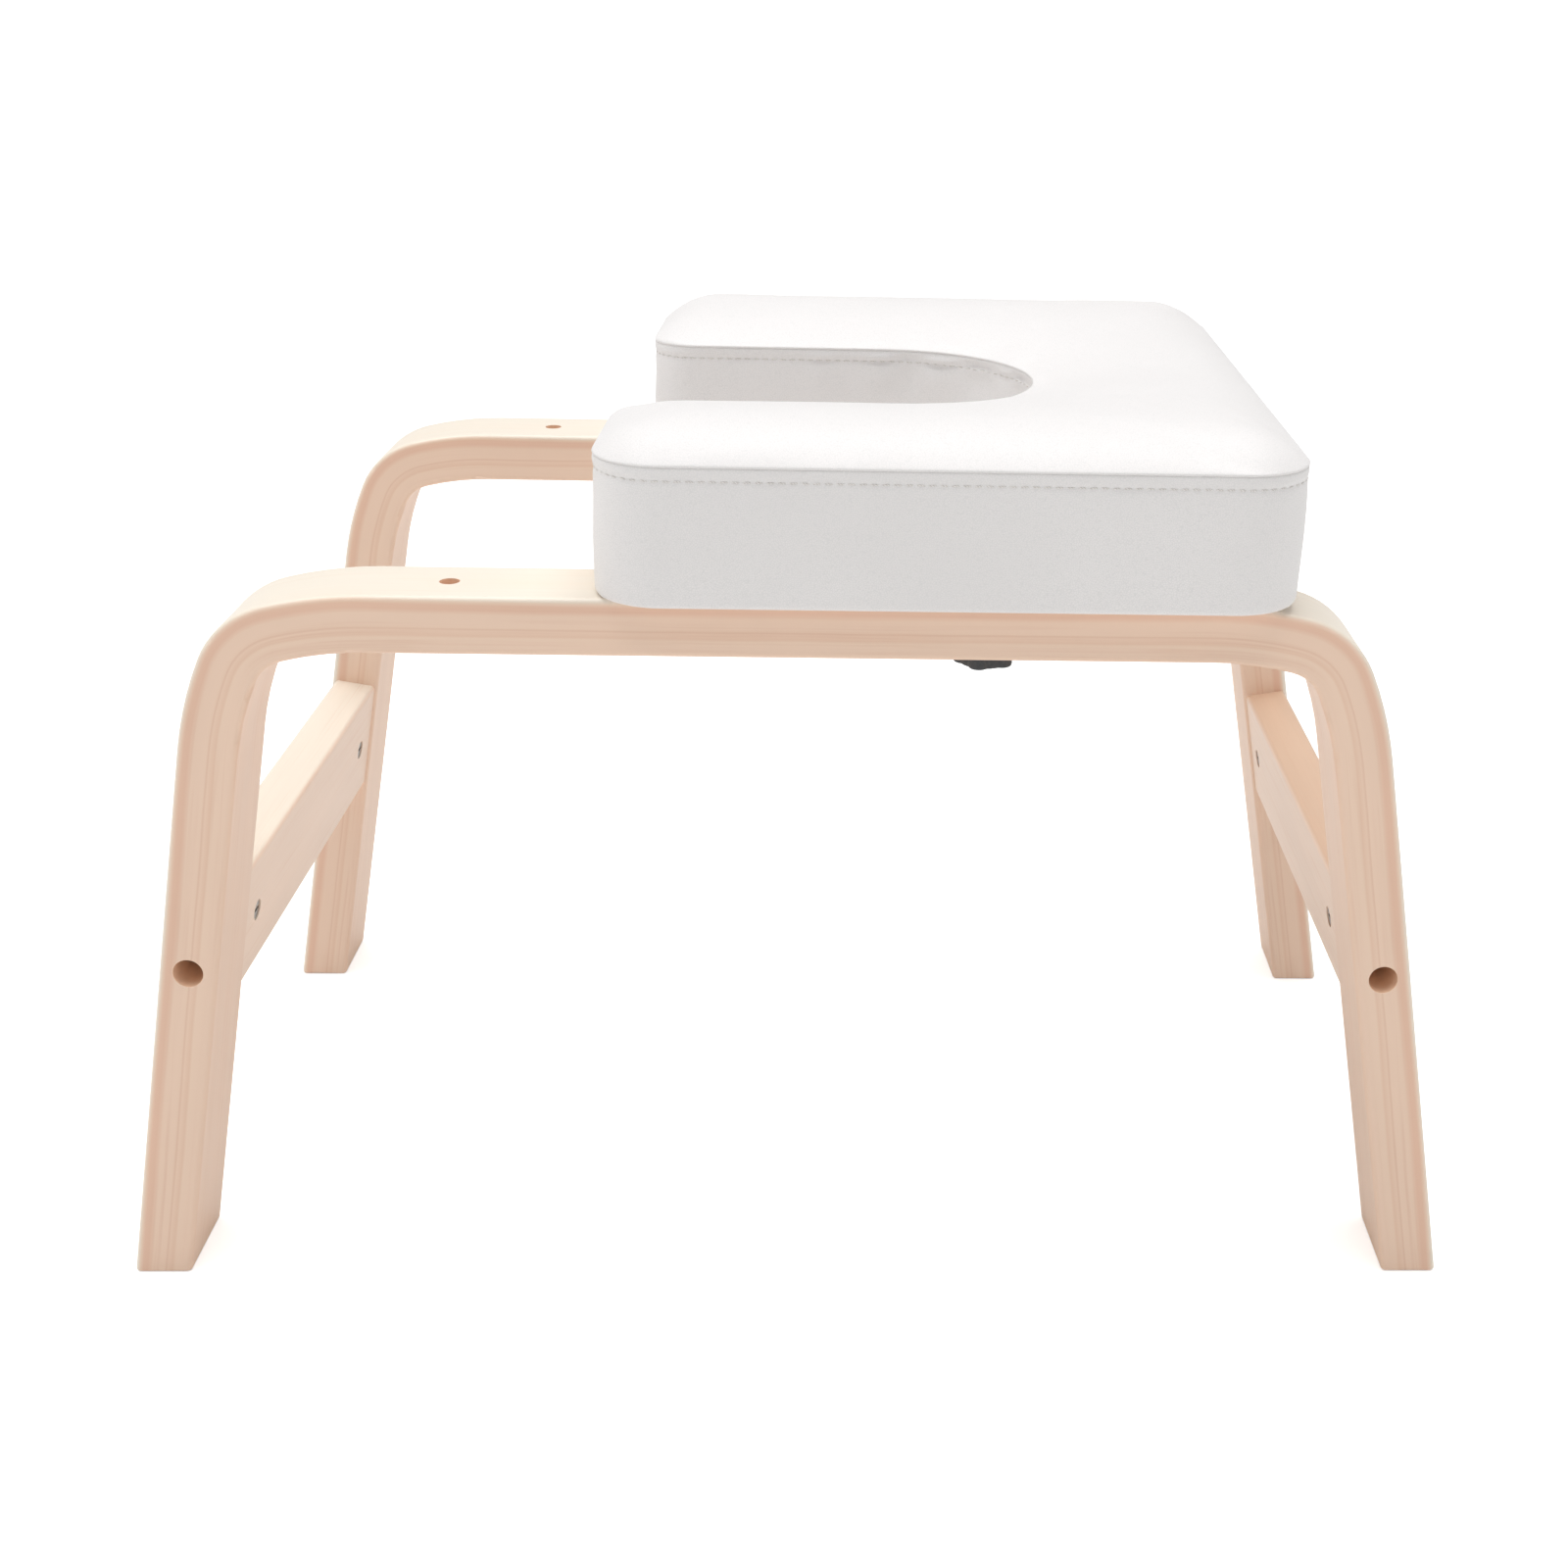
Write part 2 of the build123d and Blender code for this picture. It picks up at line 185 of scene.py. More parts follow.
def lacquered_pine(name, path, stops, holes=(), fleck="#D9A98C", painted_top_tone=None):
    """Pine, planed or bent from veneers, sanded and lacquered: soft lengthwise streaks under satin.

    path gives the place and the metres along, across and into the wood; the tone given for a plank's
    top is painted over the faces that turn upwards: painted light on one plank, painted shade on the other.
    """
    material, tree, shader = surface(name, Roughness=0.42, IOR=1.5, Coat_Weight=0.12, Coat_Roughness=0.3)
    place, along, across, depth = path(tree)
    # slow wander of the grain lines, about a hand's length along and a fingertip across
    stretched = add(tree, "CombineXYZ", {
        "X": add(tree, "Math", {0: along, 1: 7.0}, operation="MULTIPLY"),
        "Y": add(tree, "Math", {0: across, 1: 30.0}, operation="MULTIPLY"),
        "Z": add(tree, "Math", {0: depth, 1: 30.0}, operation="MULTIPLY"),
    })
    drift = add(tree, "TexNoise", {"Vector": stretched, "Scale": 1.0, "Detail": 2.0})
    wander = add(tree, "Math", {0: drift, 1: 4.0 * MM, 2: -2.0 * MM}, operation="MULTIPLY_ADD")
    level = add(tree, "Math", {0: depth, 1: wander}, operation="ADD")
    share = add(tree, "Math", {0: level, 1: ARCH_THICKNESS}, operation="DIVIDE")
    layers = tones(add(tree, "ValToRGB", {"Fac": share}), stops)
    # growth-ring streaks, 0.5 to 2 mm wide and several centimetres long
    fine = add(tree, "CombineXYZ", {
        "X": add(tree, "Math", {0: along, 1: 9.0}, operation="MULTIPLY"),
        "Y": add(tree, "Math", {0: across, 1: 420.0}, operation="MULTIPLY"),
        "Z": add(tree, "Math", {0: level, 1: 520.0}, operation="MULTIPLY"),
    })
    streak = add(tree, "TexNoise", {"Vector": fine, "Scale": 1.0, "Detail": 3.0, "Roughness": 0.6})
    dark = add(tree, "MapRange", {
        "Value": streak, "From Min": 0.5, "From Max": 0.8, "To Min": 0.0, "To Max": 0.34,
    })
    # the clear face veneer shows fewer
    clear = add(tree, "MapRange", {
        "Value": level, "From Min": 0.4 * MM, "From Max": 3 * MM, "To Min": 0.3, "To Max": 1.0,
    })
    dark = add(tree, "Math", {0: dark, 1: clear}, operation="MULTIPLY")
    # and they come and go along the length
    patches = add(tree, "TexNoise", {"Vector": stretched, "Scale": 2.3, "Detail": 1.0})
    patch = add(tree, "MapRange", {
        "Value": patches, "From Min": 0.38, "From Max": 0.62, "To Min": 0.2, "To Max": 1.15,
    })
    dark = add(tree, "Math", {0: dark, 1: patch}, operation="MULTIPLY")
    # faces turned upwards take a colour of their own: painted light on the left plank's top, painted shade
    # on the right plank's top
    if painted_top_tone:
        facing = add(tree, "SeparateXYZ", {0: add(tree, "NewGeometry").outputs["Normal"]})
        over = add(tree, "MapRange", {"Value": facing.outputs["Z"], "From Min": 0.5, "From Max": 0.9})
        layers = add(tree, "Mix", {"Factor": over, "A": layers, "B": linear(painted_top_tone)}, data_type="RGBA")
    colour = add(tree, "Mix", {"Factor": dark, "A": layers, "B": linear(fleck)}, data_type="RGBA")
    # broad, faint change of tone from one stretch to the next
    broad = add(tree, "MapRange", {
        "Value": drift, "From Min": 0.3, "From Max": 0.7, "To Min": 1.03, "To Max": 1.09,
    })
    toned = add(tree, "VectorMath", {0: colour, "Scale": broad}, operation="SCALE")
    # painted shade inside the counterbores and rail holes: one fixed colour over the wood there
    colour = painted_hole_shade(tree, place, toned, holes, "#FFDABC")
    tree.links.new(next(s for s in colour.outputs if s.enabled), shader.inputs["Base Color"])
    # open pores, 0.1 mm wide, too fine to show alone: drawn 0.3 mm wide
    pores = add(tree, "CombineXYZ", {
        "X": add(tree, "Math", {0: along, 1: 60.0}, operation="MULTIPLY"),
        "Y": add(tree, "Math", {0: across, 1: 3000.0}, operation="MULTIPLY"),
        "Z": add(tree, "Math", {0: depth, 1: 3000.0}, operation="MULTIPLY"),
    })
    pore = add(tree, "TexNoise", {"Vector": pores, "Scale": 1.0, "Detail": 2.0})
    relief = add(tree, "Bump", {"Height": pore, "Distance": 0.03 * MM, "Strength": 0.5})
    tree.links.new(relief.outputs[0], shader.inputs["Normal"])
    gloss = add(tree, "MapRange", {"Value": streak, "To Min": 0.36, "To Max": 0.5})
    tree.links.new(gloss.outputs[0], shader.inputs["Roughness"])
    return material


def along_the_board(tree):
    """Straight timber with its grain along Y."""
    place = add(tree, "TexCoord").outputs["Object"]
    xyz = add(tree, "SeparateXYZ", {0: place})
    far = add(tree, "Math", {0: xyz.outputs["X"], 1: 3.0, 2: 0.011}, operation="MULTIPLY_ADD")
    return place, xyz.outputs["Y"], far, xyz.outputs["Z"]


def zinc_steel():
    """Zinc-plated steel, turned and tumbled: a soft grey metal with fine scratches."""
    material, tree, shader = surface("zinc_plated_steel", Metallic=1.0)
    place = add(tree, "TexCoord").outputs["Object"]
    cloud = add(tree, "TexNoise", {"Vector": place, "Scale": 260.0, "Detail": 4.0})
    colour = tones(add(tree, "ValToRGB", {"Fac": cloud}), [(0.3, "#918D8A"), (0.7, "#B3B0AD")])
    tree.links.new(colour.outputs[0], shader.inputs["Base Color"])
    dull = add(tree, "MapRange", {"Value": cloud, "To Min": 0.28, "To Max": 0.48})
    tree.links.new(dull.outputs[0], shader.inputs["Roughness"])
    scratch = add(tree, "TexNoise", {"Vector": place, "Scale": 2500.0, "Detail": 2.0})
    relief = add(tree, "Bump", {"Height": scratch, "Distance": 0.01 * MM, "Strength": 0.4})
    tree.links.new(relief.outputs[0], shader.inputs["Normal"])
    return material


def moulded_nylon():
    """Glass-filled nylon, moulded in a spark-eroded tool: dark grey, evenly matt and faintly grained."""
    material, tree, shader = surface("moulded_nylon", IOR=1.53, Specular_IOR_Level=0.45)
    place = add(tree, "TexCoord").outputs["Object"]
    grain = add(tree, "TexNoise", {"Vector": place, "Scale": 1600.0, "Detail": 2.0})
    colour = tones(add(tree, "ValToRGB", {"Fac": grain}), [(0.3, "#3A3C3E"), (0.7, "#484A4C")])
    tree.links.new(colour.outputs[0], shader.inputs["Base Color"])
    dull = add(tree, "MapRange", {"Value": grain, "To Min": 0.5, "To Max": 0.68})
    tree.links.new(dull.outputs[0], shader.inputs["Roughness"])
    relief = add(tree, "Bump", {"Height": grain, "Distance": 0.04 * MM, "Strength": 0.5})
    tree.links.new(relief.outputs[0], shader.inputs["Normal"])
    return material


def coated_vinyl():
    """Vinyl on a knitted backing, embossed by a roller: white, satin, with a fine kid-leather grain."""
    material, tree, shader = surface(
        "embossed_vinyl", IOR=1.46, Specular_IOR_Level=0.35, Coat_Weight=0.05, Coat_Roughness=0.35,
    )
    place = add(tree, "TexCoord").outputs["Object"]
    cloud = add(tree, "TexNoise", {"Vector": place, "Scale": 14.0, "Detail": 3.0})
    colour = tones(add(tree, "ValToRGB", {"Fac": cloud}), [(0.3, "#F4F1F0"), (0.7, "#F8F5F4")])
    # embossed cells, 0.9 mm across, with creases between them
    bent = add(tree, "TexNoise", {"Vector": place, "Scale": 500.0, "Detail": 2.0})
    nudge = add(tree, "VectorMath", {0: bent.outputs["Color"], "Scale": 0.5 * MM}, operation="SCALE")
    moved = add(tree, "VectorMath", {0: place, 1: nudge}, operation="ADD")
    cells = add(tree, "TexVoronoi", {"Vector": moved, "Scale": 1 / (0.9 * MM)}, feature="DISTANCE_TO_EDGE")
    crease = add(tree, "MapRange", {"Value": cells, "From Max": 0.16})
    # the creases are painted a shade darker than the cells: painted shade in the hollows of the grain
    crease_shade = add(tree, "Mix", {
        "Factor": crease, "A": linear("#ECEAE9"), "B": colour,
    }, data_type="RGBA")
    tree.links.new(crease_shade.outputs[2], shader.inputs["Base Color"])
    dull = add(tree, "MapRange", {"Value": crease, "To Min": 0.5, "To Max": 0.4})
    tree.links.new(dull.outputs[0], shader.inputs["Roughness"])
    relief = add(tree, "Bump", {"Height": crease, "Distance": 0.05 * MM, "Strength": 0.35})
    tree.links.new(relief.outputs[0], shader.inputs["Normal"])
    return material


def sewing_thread():
    """Bonded polyester thread, three-ply twist: off-white, with highlights and shade painted in slanting
    bands along the twist.
    """
    material, tree, shader = surface("twisted_thread", Roughness=0.55, Sheen_Weight=0.3)
    place = add(tree, "TexCoord").outputs["Object"]
    twist = {"Vector": place, "Scale": 500.0, "Distortion": 0.5}
    ply = add(tree, "TexWave", twist, bands_direction="DIAGONAL")
    # the twist's bands are painted lighter and darker: painted highlight and painted shade
    colour = tones(add(tree, "ValToRGB", {"Fac": ply}), [(0.2, "#D8D3CE"), (0.8, "#F1EEEB")])
    tree.links.new(colour.outputs[0], shader.inputs["Base Color"])
    relief = add(tree, "Bump", {"Height": ply, "Distance": 0.06 * MM, "Strength": 0.8})
    tree.links.new(relief.outputs[0], shader.inputs["Normal"])
    return material


def nonwoven_cloth():
    """Spunbond polypropylene, heat-bonded in dots: pale grey felt with a regular dimple."""
    material, tree, shader = surface("spunbond_cloth", Roughness=0.9, Sheen_Weight=0.15)
    place = add(tree, "TexCoord").outputs["Object"]
    dots = add(tree, "TexVoronoi", {"Vector": place, "Scale": 1 / (1.6 * MM), "Randomness": 0.15})
    fibre = add(tree, "TexNoise", {"Vector": place, "Scale": 1200.0, "Detail": 5.0})
    colour = tones(add(tree, "ValToRGB", {"Fac": fibre}), [(0.35, "#CFCDC9"), (0.65, "#E4E2DE")])
    tree.links.new(colour.outputs[0], shader.inputs["Base Color"])
    relief = add(tree, "Bump", {"Height": dots, "Distance": 0.15 * MM, "Strength": 0.6})
    tree.links.new(relief.outputs[0], shader.inputs["Normal"])
    return material


def cut_foam():
    """Polyurethane foam, hot-wire cut: cream, dull, with open cells half a millimetre across."""
    material, tree, shader = surface("open_cell_foam", Roughness=0.95)
    place = add(tree, "TexCoord").outputs["Object"]
    cells = add(tree, "TexVoronoi", {"Vector": place, "Scale": 1 / (0.6 * MM)})
    # the middle of each cell is painted darker: painted shade down in the open pores
    colour = tones(add(tree, "ValToRGB", {"Fac": cells}), [(0.1, "#B9AC86"), (0.5, "#EFE6C8")])
    tree.links.new(colour.outputs[0], shader.inputs["Base Color"])
    relief = add(tree, "Bump", {"Height": cells, "Distance": 0.3 * MM, "Strength": 0.7}, invert=True)
    tree.links.new(relief.outputs[0], shader.inputs["Normal"])
    return material


def raw_plywood():
    """Poplar plywood, sanded and left raw: pale faces, with brown cross-plies on the edge."""
    material, tree, shader = surface("raw_plywood", Roughness=0.7)
    place = add(tree, "TexCoord").outputs["Object"]
    xyz = add(tree, "SeparateXYZ", {0: place})
    ply = add(tree, "Math", {0: xyz.outputs["Z"], 1: 1 / (2.4 * MM)}, operation="MULTIPLY")
    turn = add(tree, "Math", {0: ply, 1: 1.0}, operation="PINGPONG")
    stretch = add(tree, "VectorMath", {0: place, 1: (12.0, 500.0, 500.0)}, operation="MULTIPLY")
    grain = add(tree, "TexNoise", {"Vector": stretch, "Scale": 1.0, "Detail": 3.0})
    mixed = add(tree, "Math", {0: turn, 1: 0.5, 2: 0.0}, operation="MULTIPLY_ADD")
    both = add(tree, "Math", {0: mixed, 1: grain}, operation="ADD")
    colour = tones(add(tree, "ValToRGB", {"Fac": both}), [(0.35, "#B98F62"), (0.8, "#E6CFA6")])
    tree.links.new(colour.outputs[0], shader.inputs["Base Color"])
    relief = add(tree, "Bump", {"Height": grain, "Distance": 0.08 * MM, "Strength": 0.5})
    tree.links.new(relief.outputs[0], shader.inputs["Normal"])
    return material


def fluted_beech():
    """Beech dowel, pressed with flutes: tan, with short ray flecks."""
    material, tree, shader = surface("beech_dowel", Roughness=0.65)
    place = add(tree, "TexCoord").outputs["Object"]
    stretch = add(tree, "VectorMath", {0: place, 1: (900.0, 60.0, 900.0)}, operation="MULTIPLY")
    fleck = add(tree, "TexNoise", {"Vector": stretch, "Scale": 1.0, "Detail": 2.0})
    colour = tones(add(tree, "ValToRGB", {"Fac": fleck}), [(0.35, "#B98C62"), (0.6, "#D9B48C")])
    tree.links.new(colour.outputs[0], shader.inputs["Base Color"])
    relief = add(tree, "Bump", {"Height": fleck, "Distance": 0.2 * MM, "Strength": 0.5})
    tree.links.new(relief.outputs[0], shader.inputs["Normal"])
    return material


def paper_floor():
    """Seamless white backdrop paper, rolled out: matt, and lit until it is all but shadowless."""
    material, tree, shader = surface("backdrop_paper", Roughness=0.9, Specular_IOR_Level=0.1)
    place = add(tree, "TexCoord").outputs["Object"]
    pulp = add(tree, "TexNoise", {"Vector": place, "Scale": 900.0, "Detail": 2.0})
    colour = tones(add(tree, "ValToRGB", {"Fac": pulp}), [(0.3, "#ECECEB"), (0.7, "#EEEEED")])
    tree.links.new(colour.outputs[0], shader.inputs["Base Color"])
    seen = add(tree, "LightPath").outputs["Is Camera Ray"]
    glow = add(tree, "Math", {0: seen, 1: 0.5}, operation="MULTIPLY")
    shader.inputs["Emission Color"].default_value = linear("#FFFFFF")
    tree.links.new(glow.outputs[0], shader.inputs["Emission Strength"])
    return material


# the stack's tones from its outer face inwards: pale face veneer, pinkish second layer, body with
# two thin ring lines, and a lighter inner face
stack_tones = [
    (0.00, "#F2E8D9"), (0.035, "#F1E3D2"), (0.07, "#F2D6C0"), (0.13, "#EBC4AB"), (0.21, "#EAC2A9"),
    (0.30, "#F1D2BB"), (0.52, "#F2D3BC"), (0.545, "#E9C5AC"), (0.58, "#F1D1BA"), (0.66, "#ECC9B0"),
    (0.70, "#F2D4BD"), (0.92, "#F1D2BB"), (1.0, "#F0D0B8"),
]


# ---- meshes --------------------------------------------------------------------------------
def mesh_piece(name, points, faces, material, smooth=True):
    """A new mesh object from points and faces."""
    mesh = bpy.data.meshes.new(name)
    mesh.from_pydata([tuple(p) for p in points], [], [tuple(f) for f in faces])
    mesh.validate()
    mesh.update()
    if smooth:
        mesh.shade_smooth()
    piece = bpy.data.objects.new(name, mesh)
    bpy.context.scene.collection.objects.link(piece)
    mesh.materials.append(material)
    return piece


def walk_outline(step):
    """The pad's outline, anticlockwise from the front left: points, outward normals, metres run."""
    long = band_high.x - band_low.x - 2 * CORNER
    wide = band_high.y - band_low.y - 2 * CORNER
    arm_end = band_high.y - NOTCH_HALF - CORNER - MOUTH
    wall = NOTCH_DEPTH - MOUTH - NOTCH_HALF
    legs = [
        (long, 0), (CORNER, 90), (wide, 0), (CORNER, 90), (long, 0), (CORNER, 90),
        (arm_end, 0), (MOUTH, 90), (wall, 0), (NOTCH_HALF, -180), (wall, 0), (MOUTH, 90),
        (arm_end, 0), (CORNER, 90),
    ]
    here, heading, gone = Vector((band_low.x + CORNER, band_low.y)), 0.0, 0.0
    points, normals, runs = [], [], []
    for size, turn in legs:
        length = size * abs(radians(turn)) if turn else size
        count = ceil(length / step)
        for k in range(count):
            part = k / count
            bend = radians(turn) * part
            if turn:
                side = 1 if turn > 0 else -1
                hub = here + size * side * Vector((-sin(heading), cos(heading)))
                point = hub + size * side * Vector((sin(heading + bend), -cos(heading + bend)))
            else:
                point = here + size * part * Vector((cos(heading), sin(heading)))
            points.append(point)
            normals.append(Vector((sin(heading + bend), -cos(heading + bend))))
            runs.append(gone + length * part)
        if turn:
            here = hub + size * side * Vector((sin(heading + radians(turn)), -cos(heading + radians(turn))))
            heading += radians(turn)
        else:
            here = here + size * Vector((cos(heading), sin(heading)))
        gone += length
    return np.array(points), np.array(normals), np.array(runs), gone


def rings_mesh(outline, normals, profile):
    """Points of one ring for each (out, height) of a profile, and the quads between the rings."""
    points, faces, count = [], [], len(outline)
    for out, height in profile:
        ring = outline + normals * out
        points += [(x, y, height) for x, y in ring]
    for r in range(len(profile) - 1):
        for k in range(count):
            a, b = r * count + k, r * count + (k + 1) % count
            faces.append((a, b, b + count, a + count))
    return points, faces


def fill_inside(ring, spacing, gap):
    """Even triangles over the area inside a closed ring of XY points, kept gap clear of the ring."""
    low, high = ring.min(0), ring.max(0)
    rows = np.arange(low[1], high[1], spacing * 0.866)
    inner = []
    for i, y in enumerate(rows):
        for x in np.arange(low[0] + (i % 2) * spacing / 2, high[0], spacing):
            if ((ring - (x, y)) ** 2).sum(1).min() > gap ** 2:
                inner.append((x, y))
    count = len(ring)
    points = [Vector(p) for p in ring] + [Vector(p) for p in inner]
    edges = [(k, (k + 1) % count) for k in range(count)]
    made = delaunay_2d_cdt(points, edges, [], 1, 1e-7)
    return made[0], made[2], made[3]


def depth_in(outline, xy):
    """How far each XY point lies from the outline."""
    return np.sqrt(((xy[:, None, :] - outline[None, :, :]) ** 2).sum(2).min(1))


def crown(xy):
    """Height of the soft top above the seam: a fast rise from the outer edge, a slow one from the notch."""
    low, high = np.array(band_low[:2]), np.array(band_high[:2])
    middle, half = (low + high) / 2, (high - low) / 2 - CORNER
    past = np.maximum(np.abs(xy - middle) - half, 0)
    inner = np.min(half - np.abs(xy - middle), axis=1)
    outer = CORNER - np.hypot(past[:, 0], past[:, 1]) + np.maximum(inner, 0)
    round_end = low[0] + NOTCH_DEPTH - NOTCH_HALF
    notch = np.hypot(np.maximum(xy[:, 0] - round_end, 0), xy[:, 1]) - NOTCH_HALF
    rise = 1.0
    for depth, reach in ((outer, CROWN_REACH), (notch, NOTCH_REACH)):
        rise = rise * (1 - (1 - np.clip(depth / reach, 0, 1)) ** CROWN_ROUNDNESS)
    return (CROWN + CROWN_SPRING) * rise


def lift_to_crown(points, first):
    """Raises the points from the given one on by the crown's height there."""
    raised = np.array(points[first:])
    raised[:, 2] += crown(raised[:, :2])
    points[first:] = raised.tolist()


def close_over(points, first, count, spacing, gap, height):
    """Closes the ring of count points with even triangles, and adds their inner points at height(xy)."""
    ring = np.array([p[:2] for p in points[first:first + count]])
    flat, triangles, origin = fill_inside(ring, spacing, gap)
    index, extra = {}, []
    for i, came_from in enumerate(origin):
        if came_from and came_from[0] < count:
            index[i] = first + came_from[0]
        else:
            index[i] = len(points) + len(extra)
            extra.append(tuple(flat[i]))
    points += [(x, y, z) for (x, y), z in zip(extra, height(np.array(extra)))]
    return [tuple(index[i] for i in t) for t in triangles]


def inflate(piece, held, pressure, cap):
    """Lets the cover fill out as cloth under the foam's push, no point moving further than cap."""
    scene = bpy.context.scene
    start = np.array([v.co for v in piece.data.vertices])
    group = piece.vertex_groups.new(name="held")
    group.add([int(i) for i in held], 1.0, "REPLACE")
    fill = piece.modifiers.new("fill", "CLOTH")
    settings = fill.settings
    settings.quality = 6
    settings.mass = 0.4
    settings.tension_stiffness = settings.compression_stiffness = 25
    settings.shear_stiffness = 15
    settings.bending_stiffness = 4
    settings.air_damping = 2
    settings.vertex_group_mass = "held"
    settings.use_pressure = True
    settings.uniform_pressure_force = pressure
    settings.effector_weights.gravity = 0
    fill.collision_settings.use_collision = False
    fill.point_cache.frame_start, fill.point_cache.frame_end = 1, 20
    for step in range(1, 21):
        scene.frame_set(step)
    done = piece.evaluated_get(bpy.context.evaluated_depsgraph_get())
    moved = np.array([v.co for v in done.data.vertices]) - start
    piece.modifiers.remove(fill)
    piece.vertex_groups.remove(group)
    scene.frame_set(1)
    reach = np.linalg.norm(moved, axis=1, keepdims=True)
    moved *= cap / (cap + reach)
    piece.data.vertices.foreach_set("co", (start + moved).ravel())
    piece.data.update()


def ease(value, low, high):
    """0 below low, 1 above high, and smooth between."""
    t = np.clip((value - low) / (high - low), 0, 1)
    return t * t * (3 - 2 * t)


def lining(piece, thickness):
    """Gives a cover its real thickness, inwards."""
    wall = piece.modifiers.new("thickness", "SOLIDIFY")
    wall.thickness = thickness
    wall.offset = -1


def puckers(runs, total, seed):
    """Gathers along the seam: short waves, strongest where the notch turns, from -1 to 1."""
    notch_middle = total - (band_high.y - NOTCH_HALF - CORNER - MOUTH) - CORNER * pi / 2 - MOUTH * pi / 2
    notch_middle -= (NOTCH_DEPTH - MOUTH - NOTCH_HALF) + NOTCH_HALF * pi / 2
    away = np.abs(runs - notch_middle)
    strength = 0.22 + 0.78 * (1 - ease(away, NOTCH_HALF * 1.2, NOTCH_HALF * 2.6))
    wave = np.array([
        noise.noise((r * 95, seed, 0.3)) + noise.noise((r * 48, seed + 4.0, 0.7)) for r in runs
    ])
    return strength * wave


def cushion_covers(vinyl):
    """The sewn cover: a crowned top panel with a rolled edge, and a side band turned in under the board."""
    outline, normals, runs, total = walk_outline(3.0 * MM)
    count = len(outline)

    # top panel, from the edge tucked into the seam, over the roll and in across the crown
    roll = [(-1.0, -0.95), (-0.2, -1.05), (0.24, -0.8), (0.38, -0.4), (0.22, 0.0)]
    profile = [(out * MM, SEAM + rise * MM) for out, rise in roll]
    profile += [(-inset * MM, SEAM + 0.15 * MM) for inset in (0.5, 1.8, 3.6, 6.0, 9.0, 12.5)]
    points, faces = rings_mesh(outline, normals, profile)
    lift_to_crown(points, len(roll) * count)
    faces += close_over(
        points, len(points) - count, count, 4.5 * MM, 3.2 * MM, lambda xy: SEAM + 0.15 * MM + crown(xy),
    )
    top = mesh_piece("cushion_top_cover", points, faces, vinyl)
    inflate(top, range(len(roll) * count), 9.0, 3.6 * MM)

    # side band, from inside the seam down to the fold under the board
    drop = STITCH_DROP / MM
    profile = [
        (-1.2, -0.7), (-0.3, -0.95), (0.08, -1.3), (0.2, -2.2), (0.2, -3.6), (0.0, -5.0),
        (-0.36, -drop + 0.5), (-0.46, -drop), (-0.36, -drop - 0.5), (-0.1, -drop - 1.4), (0.0, -drop - 2.8),
    ]
    stitched = len(profile)
    bottom = (UNDERSIDE - SEAM) / MM
    first = profile[-1][1]
    for i in range(1, 11):
        share = i / 11
        profile.append((0.5 * sin(pi * share), first + (bottom + 3.4 - first) * share))
    fold = len(profile)
    profile += [
        (-0.05, bottom + 2.8), (-0.25, bottom + 1.6), (-0.8, bottom + 0.6), (-2.0, bottom + 0.1),
        (-4.2, bottom), (-8.0, bottom), (-12.0, bottom), (-HEM / MM + 0.2, bottom),
    ]
    points, faces = rings_mesh(outline, normals, [(o * MM, SEAM + z * MM) for o, z in profile])
    faces = [tuple(reversed(f)) for f in faces]
    band = mesh_piece("cushion_side_cover", points, faces, vinyl)
    inflate(band, [*range(stitched * count), *range(fold * count, len(points))], 6.0, 1.2 * MM)

    gather(top, band, outline, normals, runs, total)
    for cover in (top, band):
        lining(cover, 1.2 * MM)
        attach(cover, "cushion")
    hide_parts("cushion_top_panel")
    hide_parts("cushion_side_band")
    return outline, normals, runs, total


def gather(top, band, outline, normals, runs, total):
    """Works the seam's gathers, the hang of the band and the ease of the top panel into both covers."""
    fan = puckers(runs, total, 1.7)
    sway = np.array([noise.noise((r * 22, 8.1, 2.2)) for r in runs])
    for cover, top_side in ((top, True), (band, False)):
        co = np.array([v.co for v in cover.data.vertices])
        near = ((co[:, None, :2] - outline[None, :, :]) ** 2).sum(2).argmin(1)
        below = SEAM - co[:, 2]
        if top_side:
            depth = depth_in(outline, co[:, :2])
            lift = 1.2 * MM * fan[near] * ease(depth, 0.4 * MM, 3 * MM) * (1 - ease(depth, 5 * MM, 15 * MM))
            lift += 0.5 * MM * ease(depth, 4 * MM, 30 * MM) * np.array(
                [noise.noise((p[0] * 13, p[1] * 13, 5.0)) for p in co]
            )
            co[:, 2] += lift
        else:
            free = ease(below, 2.0 * MM, 3.6 * MM) * (1 - ease(below, 5.2 * MM, STITCH_DROP))
            under = ease(below, STITCH_DROP + 0.6 * MM, STITCH_DROP + 4 * MM)
            under *= 1 - ease(below, STITCH_DROP + 6 * MM, STITCH_DROP + 22 * MM)
            body = ease(below, STITCH_DROP + 2 * MM, STITCH_DROP + 12 * MM)
            body *= 1 - ease(below, SEAM - UNDERSIDE - 9 * MM, SEAM - UNDERSIDE - 1 * MM)
            out = 2.4 * MM * fan[near] * free + 2.0 * MM * fan[near] * under + 0.6 * MM * sway[near] * body
            co[:, :2] += normals[near] * out[:, None]
            co[:, 0] -= 1.0 * MM * ease(below, 10 * MM, SEAM - UNDERSIDE - 4 * MM)
        cover.data.vertices.foreach_set("co", co.ravel())
        cover.data.update()


